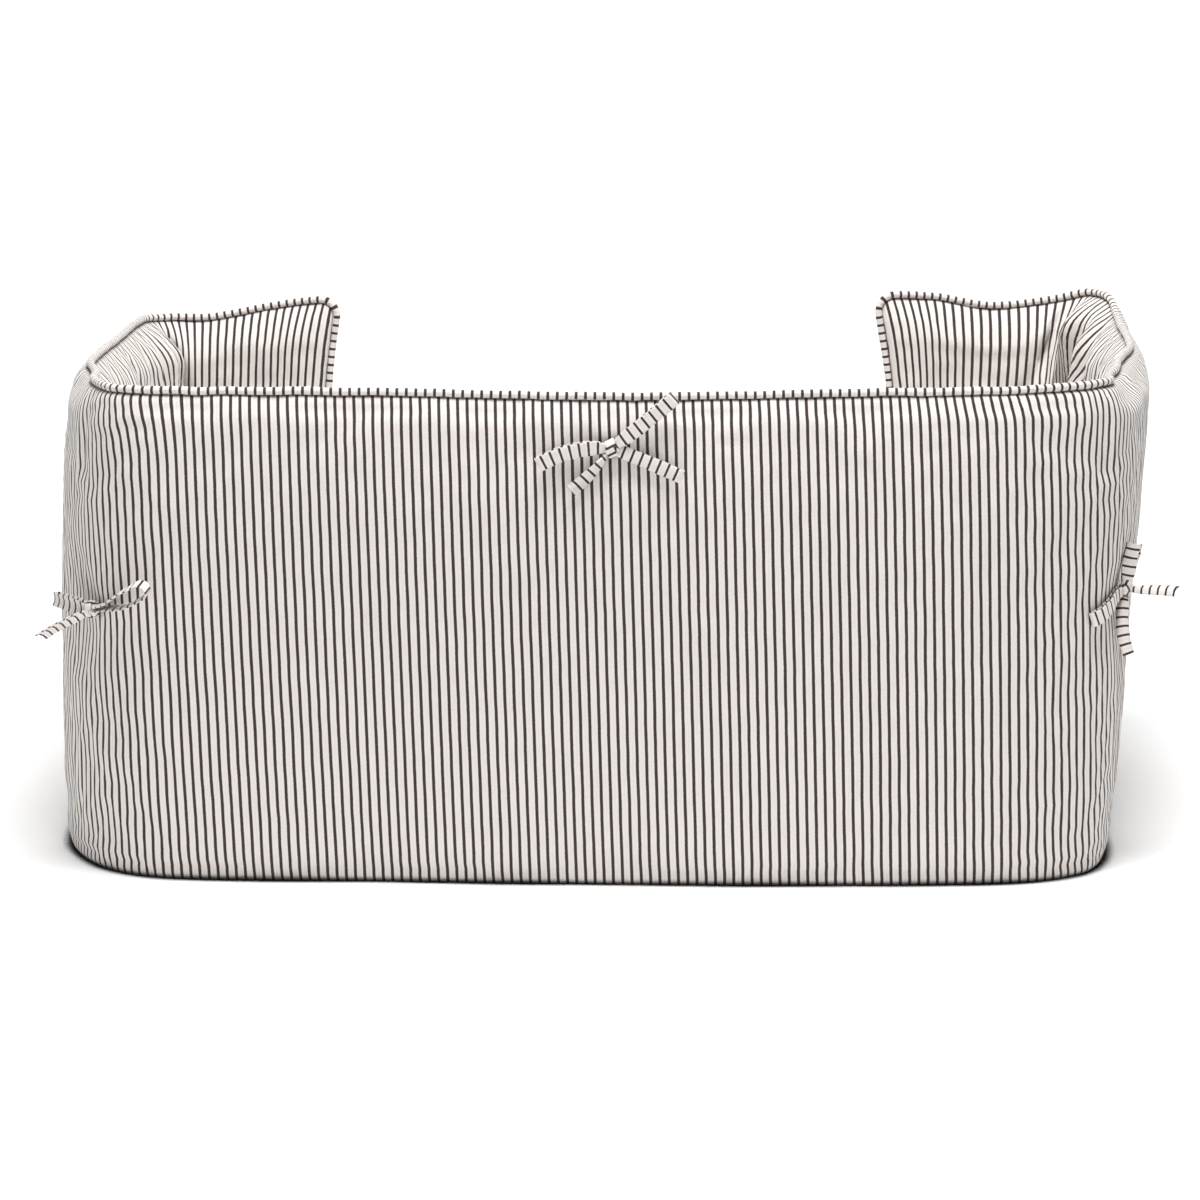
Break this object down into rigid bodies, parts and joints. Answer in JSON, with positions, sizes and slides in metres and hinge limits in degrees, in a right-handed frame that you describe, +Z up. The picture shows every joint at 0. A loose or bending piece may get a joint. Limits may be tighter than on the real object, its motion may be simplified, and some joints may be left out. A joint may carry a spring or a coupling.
{
  "type": "dog crate bumper",
  "caption": "Padded ticking band that stands on edge and bends to an open C, with piping along its top and door ends and short bow ties on its outer face.",
  "frame": {"origin": "on the floor, under the middle of the whole outline", "axes": "+Z up, the long back panel at -Y, the door gap at +Y, +X to the right when the back panel is looked at from outside"},
  "size_m": [0.8281, 0.5173, 0.372],
  "materials": {
    "ticking": "off-white cotton ticking with narrow charcoal stripes, matt",
    "piping_ticking": "the same ticking wrapped on a cord, its stripes across",
    "tie_ticking": "the same ticking folded to a narrow stitched strip, its stripes across"
  },
  "bodies": {
    "root": {"pad": "ticking", "piping": "piping_ticking", "tie_back": "tie_ticking", "tie_left": "tie_ticking", "tie_right": "tie_ticking"}
  },
  "joints": []
}
